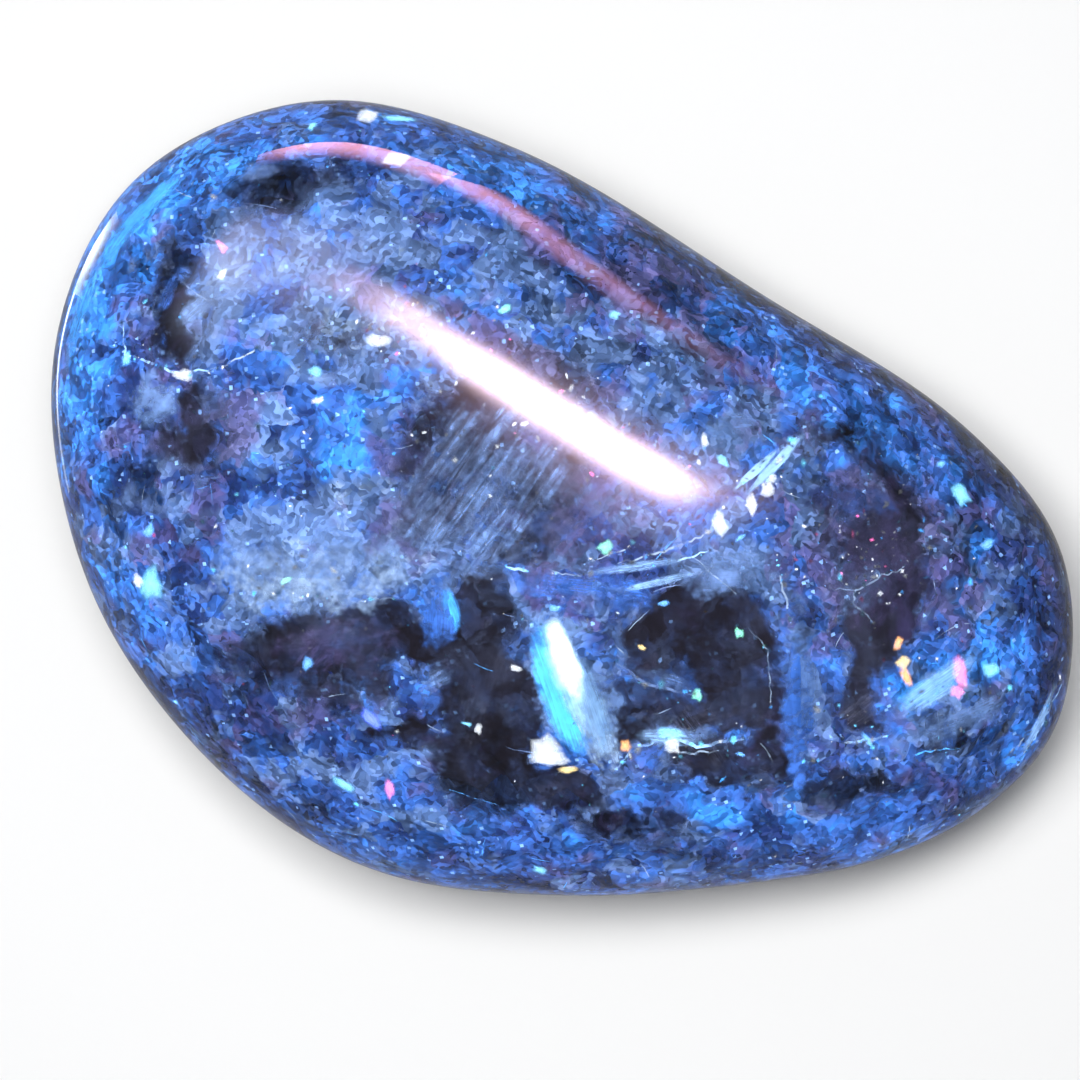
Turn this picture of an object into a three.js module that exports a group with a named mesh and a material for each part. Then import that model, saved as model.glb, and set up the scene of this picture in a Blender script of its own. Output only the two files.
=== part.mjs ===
// A tumbled and polished stone of dyed quartz, in millimetres, +Z up.
// It is one solid: a rounded, slightly lopsided pebble, longest along X, thickest towards -X,
// with a nearly straight flank on its +Y side and a fuller belly on its -Y side.
// Tumbling has worn a small oval flat on its underside, and it lies on that flat.
// The origin is the middle of its length and width, on the surface that it lies on.

import * as THREE from "three";
import { mergeVertices } from "three/addons/utils/BufferGeometryUtils.js";

// Driving sizes.
const LENGTH = 35; // along X
const WIDTH = 23.1; // along Y
const HEIGHT = 13.8; // from the worn flat to the crown
const GIRDLE_HEIGHT = 6.8; // where the outline is at its widest
const FLAT_SHARE = 0.46; // the worn flat's size beside the outline
const CROWN = new THREE.Vector2(-1.6, 0.9); // the highest point lies here, beside the origin
const CROWN_FALL = 0.16; // how much lower the dome is at the +X end than at the -X end, as a share

// How full the sections are: 2 is an ellipse, more is boxier.
const DOME_FULLNESS = 2.2;
const BELLY_FULLNESS = 2.3;

// Mesh density.
const AROUND = 72;
const RINGS = 38;
const FLAT_RINGS = 4; // the rings, counted from the south pole, that lie in the worn flat

const COLOUR = 0x2f5aa8; // blue dye in clear quartz

// The outline seen from above, counterclockwise from the narrow end.
const OUTLINE = [
  [17.4, 2.6],
  [15.1, 7.6],
  [10.4, 9.9],
  [3.0, 10.8],
  [-6.5, 11.6],
  [-12.9, 10.2],
  [-17.1, 5.3],
  [-17.0, -0.9],
  [-12.6, -7.3],
  [-6.2, -10.8],
  [-0.5, -11.5],
  [5.5, -9.5],
  [11.0, -6.3],
  [14.1, -4.0],
  [16.5, -0.9],
];

// The outline as evenly spaced points, fitted to LENGTH and WIDTH about the origin.
function outlinePoints() {
  const corners = OUTLINE.map(([x, y]) => new THREE.Vector3(x, y, 0));
  const curve = new THREE.CatmullRomCurve3(corners, true, "centripetal");
  const box = new THREE.Box3().setFromPoints(curve.getSpacedPoints(20 * AROUND));
  const middle = box.getCenter(new THREE.Vector3());
  const size = box.getSize(new THREE.Vector3());
  const fit = new THREE.Vector3(LENGTH / size.x, WIDTH / size.y, 1);
  return curve.getSpacedPoints(AROUND).map((p) => p.sub(middle).multiply(fit));
}

// The radius, in the direction of an angle, of the ellipse that the inner rings tend to.
function ellipseRadius(angle) {
  return 1 / Math.hypot(Math.cos(angle) / (LENGTH / 2), Math.sin(angle) / (WIDTH / 2));
}

// One ring's share of the outline and its height, for a polar angle from 0 at the crown to PI below.
function profile(polar) {
  const flatEdge = Math.PI * (1 - FLAT_RINGS / RINGS);
  if (polar >= flatEdge) {
    const share = (Math.PI - polar) / (Math.PI - flatEdge);
    return { share: FLAT_SHARE * share, height: 0, above: 0 };
  }
  if (polar > Math.PI / 2) {
    const turn = ((flatEdge - polar) / (flatEdge - Math.PI / 2)) * (Math.PI / 2);
    const share = FLAT_SHARE + (1 - FLAT_SHARE) * Math.sin(turn) ** (2 / BELLY_FULLNESS);
    return { share, height: GIRDLE_HEIGHT * (1 - Math.cos(turn) ** (2 / BELLY_FULLNESS)), above: 0 };
  }
  const share = Math.sin(polar) ** (2 / DOME_FULLNESS);
  const above = (HEIGHT - GIRDLE_HEIGHT) * Math.max(Math.cos(polar), 0) ** (2 / DOME_FULLNESS);
  return { share, height: GIRDLE_HEIGHT, above };
}

// A point of the stone's surface, on the ring at a polar angle, towards one outline point.
function surfacePoint(polar, rim) {
  const { share, height, above } = profile(polar);
  const angle = Math.atan2(rim.y, rim.x);
  const radius = share * THREE.MathUtils.lerp(ellipseRadius(angle), rim.length(), share);
  const drift = 1 - share * share;
  const x = radius * Math.cos(angle) + CROWN.x * drift;
  const y = radius * Math.sin(angle) + CROWN.y * drift;
  const fall = 1 - (CROWN_FALL * (x - CROWN.x)) / LENGTH;
  return new THREE.Vector3(x, y, height + above * fall);
}

// A sphere whose rings and meridians are carried onto the stone's surface.
function stoneGeometry() {
  const sphere = new THREE.SphereGeometry(1, AROUND, RINGS);
  const rims = outlinePoints();
  const places = sphere.getAttribute("position");
  for (let ring = 0; ring <= RINGS; ring++) {
    for (let step = 0; step <= AROUND; step++) {
      const at = surfacePoint((ring / RINGS) * Math.PI, rims[step % AROUND]);
      places.setXYZ(ring * (AROUND + 1) + step, at.x, at.y, at.z);
    }
  }
  sphere.deleteAttribute("normal");
  sphere.deleteAttribute("uv");
  const welded = mergeVertices(sphere, 1e-4);
  welded.computeVertexNormals();
  return welded;
}

const stone = new THREE.Mesh(
  stoneGeometry(),
  new THREE.MeshStandardMaterial({ color: COLOUR, roughness: 0.06, metalness: 0 }),
);
stone.name = "stone";

const dyedQuartz = new THREE.Group();
dyedQuartz.add(stone);

export default dyedQuartz;
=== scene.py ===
"""Builds a polished stone of dyed crackle quartz: the clear body and the dyed cracks sealed in it."""

import math
import random

import bmesh
import bpy
from bpy.props import FloatProperty, FloatVectorProperty, IntProperty, PointerProperty
from mathutils import Matrix, Vector, noise
from mathutils.bvhtree import BVHTree


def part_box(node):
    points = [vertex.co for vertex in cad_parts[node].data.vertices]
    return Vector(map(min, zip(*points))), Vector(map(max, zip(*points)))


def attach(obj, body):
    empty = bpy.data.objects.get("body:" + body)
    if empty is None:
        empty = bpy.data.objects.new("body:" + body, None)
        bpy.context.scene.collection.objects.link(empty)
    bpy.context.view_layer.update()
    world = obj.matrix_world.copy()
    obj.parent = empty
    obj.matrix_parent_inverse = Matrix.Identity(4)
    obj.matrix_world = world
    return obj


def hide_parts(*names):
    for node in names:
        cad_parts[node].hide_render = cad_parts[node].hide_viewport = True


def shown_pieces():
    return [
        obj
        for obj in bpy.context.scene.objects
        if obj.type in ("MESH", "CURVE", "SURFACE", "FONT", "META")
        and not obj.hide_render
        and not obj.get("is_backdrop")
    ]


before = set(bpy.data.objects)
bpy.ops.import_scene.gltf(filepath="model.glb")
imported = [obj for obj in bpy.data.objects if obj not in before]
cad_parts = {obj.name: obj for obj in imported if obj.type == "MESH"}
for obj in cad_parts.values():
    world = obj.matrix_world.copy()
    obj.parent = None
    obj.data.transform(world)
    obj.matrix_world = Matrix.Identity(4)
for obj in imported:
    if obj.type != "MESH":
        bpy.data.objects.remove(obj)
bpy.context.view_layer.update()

bl_info = {
    "name": "Dyed Quartz Stone",
    "version": (1, 0, 0),
    "blender": (4, 5, 0),
    "location": "3D View > Sidebar > Quartz",
    "description": "Builds a polished stone of crackle quartz with its dyed cracks inside",
    "category": "Add Mesh",
}

MM = 0.001
LOW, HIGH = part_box("stone")
SIZE = HIGH - LOW
HEART = Vector((-0.9 * MM, 0.8 * MM, 0.47 * SIZE.z))  # the middle of the stone's bulk
SHOT_TURN = math.radians(26)  # how far the camera is turned about the vertical
GIRDLE = 0.493 * SIZE.z
LENS, SENSOR = 120, 36
RIGHT = Vector((math.cos(SHOT_TURN), math.sin(SHOT_TURN), 0))
UP = Vector((-math.sin(SHOT_TURN), math.cos(SHOT_TURN), 0))
EYE = RIGHT * 0.044 * MM + UP * 0.515 * MM + Vector((0, 0, GIRDLE + 0.9989 * SIZE.x * LENS / SENSOR))
WINDOW_MIDDLE = Vector((-290, 120, 330)) * MM  # the middle of the lamp that the cracks are lit by
FLOOR_RADIUS = 0.3  # metres

# Where the dye lies: as the ovals say above a height, and in random zones below it.
OVALS_END = 0.35 * SIZE.z
ZONES_START = 0.3  # as a share of the stone's height
OVAL_REACH = 1.34  # an oval ends at this many times its half length
ZONE_STRAY = 1.5  # mm that an oval's edge wanders
ZONE_SIZE = 3.5 * MM

# The crack layers and the core: the size of their folds, and the seeds of their folds and shades.
SKIN_CRUMPLE, DEEP_CRUMPLE, CORE_CRUMPLE = 1.9 * MM, 2.6 * MM, 2.2 * MM
SKIN_SEEDS, DEEP_SEEDS, CORE_SEED = (5, 8), (23, 9), 41
CORE_SPREAD = 0.4  # how much deeper the core's skin goes, as a share of its depth

# Veils, crack edges and glints, in mm where nothing else is said; those with ranges are scattered.
VEIL_SEED, EDGE_SEED, GLINT_SEED = 61, 71, 81
VEIL_FOLD = 0.12 * MM  # metres
VEIL_BEND = 0.02  # how far a veil curves, as a share of its half length
VEIL_DEPTHS, VEIL_LENGTHS, VEIL_WIDTHS = (0.8, 3.0), (0.5, 1.5), (0.3, 0.8)  # widths as shares of the lengths
SMOOTH_VEIL, ROUGH_VEIL = 0.35, 1.0  # how ragged it is: the bright tints are the smooth ones
KINK_LENGTH, KINK, SPRINKLE_KINK = 0.16, 0.025, 0.06
EDGE_DEPTHS, EDGE_STRIDES, EDGE_WIDTHS = (0.2, 0.9), (0.08, 0.2), (0.012, 0.035)
GLINT_DEPTH, SPRINKLE_DEPTHS, GLINT_DEPTHS = 0.18, (0.12, 0.2), (0.12, 0.9)
GLINT_SWELL = 1.4  # makes up for the corners that are drawn in
CROWD_RADIUS = 0.03

# Grains of the finishes, in blobs or cells to a metre.
MOTTLE_SCALE, PLATE_SCALE, CHIP_SCALE, PAINTED_GLINT_SCALE = 620.0, 1100.0, 5200.0, 9000.0
SMOKE_SCALE, RAG_SCALE, VEIL_CHIP_SCALE, BEAD_SCALE = 380.0, 900.0, 4600.0, 2600.0
PLATE_STRAY = 1.6 * MM  # how far the mottling pushes the plates' edges about
# The colour of single sparks painted into the dyed cracks: painted glints.
PAINTED_GLINT_COLOUR = (0.22, 0.42, 0.80, 1.0)

# Dyes and tints of what is scattered; a name that is repeated comes up more often.
VEIL_DYES = ["cobalt", "cobalt", "slate", "slate", "ash", "plum"]
EDGE_DYES = ["pale", "pale", "slate", "azure"]
EDGE_TINTS = ["white", "cyan", "azure"]
GLINT_TINTS = ["white"] * 4 + ["cyan"] * 6 + ["azure"] * 6 + ["blue", "pink", "gold", "green"]


# ---- sizes and colours


def depth_setting(name, description, default):
    """A distance inside the stone, given in mm."""
    return FloatProperty(name=name, description=description, subtype="DISTANCE", unit="LENGTH",
                         default=default * MM)


def count_setting(name, description, default):
    """How many there are of something."""
    return IntProperty(name=name, description=description, default=default, min=0)


def dye_setting(name, description, *default):
    """A colour inside the stone."""
    return FloatVectorProperty(name=name, description=description, subtype="COLOR", size=4,
                               default=(*default, 1.0))


class QuartzSettings(bpy.types.PropertyGroup):
    """The sizes and colours of the stone."""

    refraction: FloatProperty(name="Refractive index", description="How strongly the quartz bends light",
                              default=1.544, min=1.0, max=2.0)
    polish: FloatProperty(name="Polish roughness", description="Roughness of the polished skin",
                          default=0.0, min=0.0, max=0.2)
    smoke: FloatProperty(name="Smoke density", description="How much light the quartz takes up, per metre",
                         default=130.0, min=0.0)
    sheet_rounds: IntProperty(name="Sheet rounds", description="Subdivision rounds of the crumpled sheets",
                              default=7, min=4, max=7)
    skin_top: depth_setting("Skin crack depth", "Depth of the shallowest dyed cracks", 0.22)
    skin_reach: depth_setting("Skin crack spread", "How much deeper the skin's cracks go", 0.8)
    deep_top: depth_setting("Deep crack depth", "Depth of the inner cracks", 1.9)
    deep_reach: depth_setting("Deep crack spread", "How much deeper the inner cracks go", 1.6)
    core_depth: depth_setting("Core depth", "Depth of the smoky middle", 3.9)
    glint_count: count_setting("Glints", "How many small crack faces glint all round the stone", 3000)
    veil_count: count_setting("Scattered veils", "How many larger crack faces lie at random all round", 150)
    edge_count: count_setting("Scattered edges", "How many crack edges lie at random all round", 300)
    smoke_colour: dye_setting("Smoke colour", "Tint of the clear quartz", 0.46, 0.42, 0.44)
    shade_colour: dye_setting("Shade colour", "Light each side lets through to a shadow", 0.30, 0.307, 0.329)
    navy: dye_setting("Navy", "Thickest dye", 0.009, 0.024, 0.105)
    cobalt: dye_setting("Cobalt", "Usual dye", 0.022, 0.084, 0.310)
    azure: dye_setting("Azure", "Brightest dye", 0.032, 0.205, 0.680)
    slate: dye_setting("Slate", "Thin dye over clouded quartz", 0.070, 0.126, 0.260)
    plum: dye_setting("Plum", "Dye over smoky quartz", 0.044, 0.038, 0.106)
    pale: dye_setting("Pale", "Cracks with hardly any dye", 0.190, 0.265, 0.360)
    # The darkest shade and ash colour the dark core, a painted shade; ash also darkens the clear windows as
    # painted shade, and colours some grey crack faces.
    darkest_shade: dye_setting("Darkest shade", "The darkest smoky quartz", 0.009, 0.008, 0.013)
    ash: dye_setting("Ash", "Clouded smoky quartz", 0.027, 0.031, 0.053)


# ---- where the dye lies

# Ovals seen from above: middle, half length and half width in mm, turn in degrees, strength.
# Every x and y below is where the eye sees a thing on the level of the girdle.
WINDOWS = [  # clear quartz with hardly a crack
    (-12.9, 7.2, 2.3, 0.9, 38, 0.64), (-14.4, 2.3, 2.0, 0.9, 118, 0.9), (-13.8, 6.0, 1.5, 0.7, 50, 0.5),
    (9.3, 5.3, 2.7, 1.6, 116, 0.52), (-11.7, -1.2, 1.6, 0.9, 112, 0.8), (-12.6, -3.2, 1.4, 0.6, 100, 0.6),
    (-9.3, 3.2, 1.3, 0.7, 40, 0.6), (-3.9, 1.5, 3.0, 1.7, 84, 0.65), (-0.6, 1.3, 2.4, 1.3, 80, 0.6),
    (-4.9, -5.4, 3.6, 1.1, 34, 0.9), (-3.8, -6.2, 1.7, 0.9, 40, 0.85), (-1.2, -6.9, 1.3, 0.7, 20, 0.85),
    (9.5, -2.6, 1.0, 0.8, 26, 0.7), (-2.4, -4.3, 1.4, 0.9, 34, 1.0), (-6.4, -7.4, 1.6, 0.7, 20, 0.6),
    (-0.3, -3.8, 3.0, 1.2, 112, 1.0), (1.0, -5.6, 3.0, 1.5, 108, 1.0), (3.3, -6.8, 2.2, 0.8, 20, 1.0),
    (5.9, 0.1, 2.4, 1.6, 16, 1.0), (4.3, -0.9, 1.5, 0.7, 100, 0.9), (7.4, -1.7, 2.4, 1.0, 26, 1.0),
    (8.2, -3.5, 2.2, 0.7, 16, 0.9), (5.2, -3.4, 1.4, 0.7, 60, 0.8), (4.9, -2.5, 1.2, 0.8, 30, 0.9),
    (10.3, 5.2, 1.5, 1.8, 20, 0.8), (10.8, 3.0, 1.2, 1.6, 30, 1.0), (11.4, 0.6, 0.7, 1.3, 20, 1.0),
    (7.7, 7.6, 1.8, 0.6, 0, 0.7), (14.8, 0.6, 1.4, 0.5, 36, 1.0), (12.4, -2.4, 2.0, 0.6, 32, 0.8),
    (-2.0, 5.6, 1.8, 0.6, -8, 0.6), (6.9, -6.4, 1.8, 0.6, 22, 0.7),
]
AZURE = [  # bright dye; on the left rim, which the window lamp lights, also painted light
    (-15.8, -2.0, 2.6, 1.1, 100, 0.8), (-16.7, 1.5, 3.2, 1.0, 95, 1.0), (-17.0, 4.6, 1.6, 1.0, 80, 1.0),
    (13.6, -3.6, 2.6, 0.8, 34, 0.5), (-15.7, 5.8, 3.4, 1.0, 52, 1.0), (-7.0, 0.6, 1.7, 0.8, 108, 0.8),
    (-5.2, 0.9, 1.4, 1.0, 100, 0.6), (3.6, -8.6, 2.4, 0.8, 22, 0.5), (-6.5, 3.0, 1.0, 0.6, 60, 1.0),
    (-8.6, 10.1, 2.6, 0.9, -8, 0.6), (-1.9, -2.9, 0.6, 0.4, 100, 0.5), (8.5, -4.9, 1.2, 0.5, 20, 1.0),
    (10.3, 8.6, 1.2, 0.6, -10, 0.8), (12.9, 6.6, 0.5, 0.4, 60, 1.0), (14.6, 3.3, 1.6, 0.8, 40, 1.0),
    (13.0, 1.4, 1.4, 0.6, 40, 0.8), (16.9, 2.0, 1.5, 0.4, 75, 1.0), (-11.2, -7.4, 2.6, 0.9, -40, 0.3),
    (6.5, 8.8, 5.0, 0.9, -12, 0.8), (-6.0, 11.0, 4.5, 0.9, -3, 0.8),
]
PALE = [  # clouded, hardly dyed
    (-10.6, 5.4, 2.6, 1.1, 8, 0.5), (-7.4, 6.9, 3.0, 1.2, -6, 0.45), (-8.7, 3.4, 2.4, 1.2, 20, 0.75),
    (-0.2, 5.4, 3.6, 0.9, -6, 0.5), (-2.2, 6.2, 1.8, 0.8, -6, 0.5), (1.0, 0.1, 1.0, 0.7, 30, 0.5),
    (-4.2, 3.2, 3.4, 1.0, -4, 0.5), (-0.6, 2.9, 2.6, 1.0, -6, 0.5), (-4.0, 7.6, 4.5, 1.3, -4, 0.35),
    (2.2, 6.8, 3.4, 1.2, -10, 0.4), (-9.9, -0.6, 1.8, 1.2, 100, 0.4), (-6.0, -1.2, 1.8, 1.0, 20, 0.5),
    (-12.9, 2.8, 1.5, 0.6, 70, 0.6), (-6.9, -3.9, 2.6, 1.1, 32, 0.6), (-4.3, -2.3, 1.2, 0.9, 0, 0.8),
    (5.9, 2.1, 1.7, 0.7, 30, 0.7), (3.8, 6.2, 1.2, 0.8, 30, 0.7), (14.2, 1.6, 1.8, 0.6, 50, 0.7),
    (6.4, -3.4, 1.2, 0.4, 20, 0.9), (2.0, -1.6, 1.6, 0.6, 15, 0.3),
]
PLUM = [  # dark plum tone
    (-1.8, 9.4, 3.2, 1.4, -6, 0.8), (3.0, 8.4, 4.0, 1.2, -10, 0.4), (-10.8, -3.7, 1.8, 1.2, 100, 0.5),
    (10.0, 4.6, 3.4, 2.8, 50, 0.9), (-11.6, -0.9, 1.8, 1.3, 90, 0.8), (-5.4, -8.4, 2.6, 1.3, 10, 0.6),
    (-2.5, 4.5, 4.5, 1.7, -4, 0.7), (-8.4, 4.6, 2.4, 1.2, 10, 0.45), (-4.6, 0.2, 2.4, 2.0, 80, 0.5),
    (1.2, 0.6, 2.2, 1.4, 60, 0.4),
]
DIM = [  # darker dye; on the right and lower rims, away from the window lamp, painted shade
    (14.9, 6.6, 3.4, 1.5, -60, 0.9), (16.4, 4.4, 2.2, 0.7, 100, 0.8), (8.0, 9.6, 4.0, 1.0, -8, 0.4),
    (5.5, -8.4, 5.0, 1.1, 22, 0.35), (11.5, -5.0, 2.4, 0.8, 34, 0.4), (-14.3, -0.6, 2.0, 1.0, 110, 0.9),
    (9.7, -2.2, 1.4, 0.9, -60, 0.8), (13.4, -1.8, 1.6, 0.8, 40, 0.5), (11.2, -0.8, 1.2, 0.8, 40, 0.6),
    (-10.8, -3.6, 1.6, 1.2, 100, 0.4), (-13.6, -1.6, 1.2, 1.2, 100, 0.3), (2.8, 0.8, 1.8, 1.0, 30, 0.9),
    (16.4, -0.2, 1.4, 0.7, 50, 0.7), (-1.6, -7.2, 2.4, 0.8, 20, 0.5), (-0.8, -8.6, 2.0, 0.8, 10, 0.4),
    (-8.0, -9.6, 3.0, 0.9, -24, 0.3), (-3.8, -10.2, 2.2, 0.8, -4, 0.4), (-9.2, -6.9, 1.6, 1.0, -30, 0.4),
    (3.1, -0.6, 2.2, 0.7, 20, 0.6),
]

# Veils: middle, half length and half width in mm, turn in degrees, depth and dip across in mm,
# dye, cover, streaks.
VEILS = [
    (3.0, -3.4, 3.4, 1.5, -47, 0.34, 0.3, "slate", 2.2, 0.2),
    (4.0, -4.3, 2.2, 1.0, -46, 0.3, 0.2, "pale", 0.9, 0.5),
    (2.6, -3.7, 3.0, 0.85, -46, 0.26, 0.2, "azure", 1.6, 0.3),
    (3.7, -3.7, 2.3, 0.7, -46, 0.22, 0.2, "mist", 1.2, 0.2),
    (2.5, -3.0, 2.3, 0.7, -46, 0.17, 0.1, "glow", 1.4, 0.2),
    (2.3, -2.7, 1.8, 0.52, -46, 0.11, 0.05, "shine", 1.7, 0.1),
    (5.6, 6.1, 1.8, 0.2, 72, 0.18, 0.1, "glow", 1.8, 0.2),
    (5.1, 5.6, 1.3, 0.16, 68, 0.17, 0.1, "glow", 1.8, 0.2),
    (3.0, 1.1, 2.0, 0.2, 34, 0.18, 0.1, "glow", 0.7, 0.6),
    (3.9, 1.0, 1.6, 0.15, 40, 0.18, 0.1, "glow", 0.8, 0.4),
    (13.4, 1.8, 2.2, 0.7, 56, 0.18, 0.1, "glow", 0.8, 0.3),
    (9.3, 5.3, 3.4, 2.4, 116, 0.6, 0.3, "plum", 0.3, 0.1),
    (16.95, 2.3, 1.7, 0.28, 87, 0.14, 0.05, "glow", 1.1, 0.3),
    (9.2, 0.7, 2.8, 1.05, -62, 0.22, 0.3, "slate", 0.7, 0.1),
    (9.8, -0.8, 3.2, 0.75, -60, 0.2, 0.3, "cobalt", 1.2, 0.1),
    (5.9, 2.2, 2.3, 0.95, 30, 0.22, 0.2, "slate", 0.9, 0.1),
    (3.8, 6.3, 1.6, 1.0, 30, 0.22, 0.2, "slate", 0.7, 0.2),
    (-6.6, -3.7, 4.4, 1.9, 30, 0.22, 0.3, "slate", 0.55, 0.0),
    (-6.4, -4.0, 3.8, 1.5, 30, 0.2, 0.3, "pale", 0.5, 0.0),
    (-2.0, -3.3, 1.4, 0.75, 116, 0.2, 0.2, "cobalt", 1.1, 0.2),
    (-1.8, -2.8, 0.9, 0.35, 130, 0.18, 0.1, "azure", 0.9, 0.3),
    (-3.4, 1.3, 4.0, 2.4, 80, 0.22, 0.3, "ash", 0.5, 0.4),
    (-1.2, 0.9, 3.6, 2.6, 80, 0.22, 0.3, "ash", 0.55, 0.5),
    # The two azure veils on the left rim brighten it: painted light on the side the window lamp lights.
    (-16.5, 4.2, 2.8, 0.7, 70, 0.25, 0.1, "azure", 0.8, 0.2),
    (-16.8, 0.6, 2.6, 0.6, 96, 0.25, 0.1, "azure", 0.6, 0.2),
    (0.9, 1.7, 3.0, 1.9, 72, 0.2, 0.3, "plum", 0.6, 0.4),
    (-2.6, 1.1, 4.2, 3.0, 80, 0.18, 0.3, "slate", 0.7, 0.8),
    (2.0, -0.4, 2.8, 0.9, 18, 0.22, 0.2, "cobalt", 0.8, 0.3),
    (-13.3, 2.7, 1.5, 0.5, 62, 0.22, 0.1, "slate", 0.8, 0.3),
    (-13.4, -1.0, 1.3, 0.9, 30, 0.22, 0.2, "slate", 0.8, 0.0),
    (14.8, 1.4, 2.6, 0.65, 44, 0.18, 0.2, "slate", 0.8, 0.2),
    (13.2, 1.6, 1.8, 0.6, 44, 0.2, 0.2, "azure", 0.6, 0.3),
    (7.8, -2.4, 2.2, 1.0, 40, 2.4, 0.6, "ash", 0.5, 0.4),
    (0.2, -4.6, 2.6, 1.2, 100, 2.6, 0.8, "ash", 0.35, 0.5),
    (-4.8, -5.6, 2.8, 0.9, 34, 2.6, 0.5, "plum", 0.6, 0.3),
    (11.6, 0.0, 1.8, 0.5, 60, 1.2, 0.4, "ash", 0.9, 0.7),
    (10.6, 4.0, 2.2, 1.1, 70, 2.4, 0.8, "plum", 0.4, 0.2),
    (9.9, 3.6, 1.3, 0.8, 60, 0.9, 0.4, "slate", 0.5, 0.3),
    (8.6, 6.2, 1.5, 0.7, 20, 0.7, 0.4, "cobalt", 0.5, 0.3),
    (7.2, -3.0, 1.8, 0.6, -30, 0.8, 0.3, "ash", 0.8, 0.8),
    (5.0, -1.9, 1.9, 0.4, 8, 0.5, 0.2, "slate", 0.7, 0.5),
    (-1.6, -5.6, 1.6, 0.5, 60, 0.6, 0.3, "slate", 0.6, 0.6),
    (6.4, -3.4, 1.4, 0.4, 20, 0.4, 0.2, "glow", 0.6, 0.5),
]

# Cracks seen edge on: the points in mm, depth, width in mm, dye.
EDGES = [
    ([(10.8, 4.9), (10.3, 4.3), (9.7, 3.5), (9.8, 3.1), (10.7, 2.8)], 0.6, 0.11, "pale"),
    ([(9.7, 3.5), (8.9, 3.2), (8.4, 3.6)], 0.6, 0.08, "pale"),
    ([(5.8, 7.1), (5.7, 6.2), (5.6, 5.3)], 0.4, 0.22, "glow"),
    ([(5.3, 5.9), (5.0, 5.2), (5.0, 4.4)], 0.4, 0.16, "glow"),
    ([(6.4, 6.6), (6.0, 5.8), (5.7, 5.0)], 0.5, 0.1, "pale"),
    ([(2.4, 0.9), (3.6, 1.9), (4.6, 3.1)], 0.4, 0.12, "pale"),
    ([(3.2, 1.2), (4.1, 1.8), (4.9, 2.6)], 0.5, 0.1, "glow"),
    ([(1.6, 0.6), (2.4, 1.4), (3.0, 2.0)], 0.6, 0.08, "pale"),
    ([(-0.8, -0.8), (-0.1, -0.6)], 0.5, 0.16, "glow"),
    ([(0.5, -0.3), (1.5, 0.0), (2.4, 0.1)], 0.5, 0.09, "pale"),
    ([(3.6, -2.0), (4.9, -2.2), (5.9, -2.0), (6.5, -1.8)], 0.7, 0.16, "slate"),
    ([(5.2, -5.1), (5.6, -4.2), (6.3, -3.4), (7.3, -3.3), (8.8, -2.2)], 0.6, 0.2, "glow"),
    ([(6.2, -3.9), (7.2, -3.6), (8.0, -3.1)], 0.7, 0.12, "pale"),
    ([(7.1, 0.9), (8.0, 0.5), (8.6, -0.5), (8.9, -1.1)], 0.7, 0.08, "pale"),
    ([(6.9, 3.4), (7.5, 2.6), (7.9, 2.1), (8.6, 1.2)], 0.5, 0.12, "pale"),
    ([(11.4, -1.2), (12.0, -0.8), (12.7, -0.3)], 0.5, 0.18, "glow"),
    ([(10.2, -0.4), (11.2, -0.8), (12.4, -1.6)], 0.6, 0.1, "pale"),
    ([(10.6, -2.2), (11.9, -1.6), (13.2, -0.8)], 0.6, 0.12, "pale"),
    ([(12.6, -1.2), (13.9, -0.3), (15.0, 0.4)], 0.6, 0.1, "azure"),
    ([(16.9, 0.8), (17.05, 2.2), (17.05, 3.7)], 0.2, 0.18, "glow"),
    ([(16.5, 0.7), (16.7, 1.6)], 0.4, 0.12, "pale"),
    ([(-15.4, 0.9), (-14.9, 0.0), (-14.0, 0.1), (-13.0, 0.2), (-12.0, 0.9)], 0.4, 0.14, "glow"),
    ([(-12.0, 0.9), (-11.2, 1.9), (-10.8, 3.0)], 0.5, 0.1, "pale"),
    ([(-8.2, -5.3), (-6.9, -4.7), (-5.4, -4.2), (-3.6, -3.3)], 0.7, 0.12, "pale"),
    ([(-0.2, -2.2), (1.2, -1.9), (2.6, -1.4)], 0.8, 0.1, "slate"),
]

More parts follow.
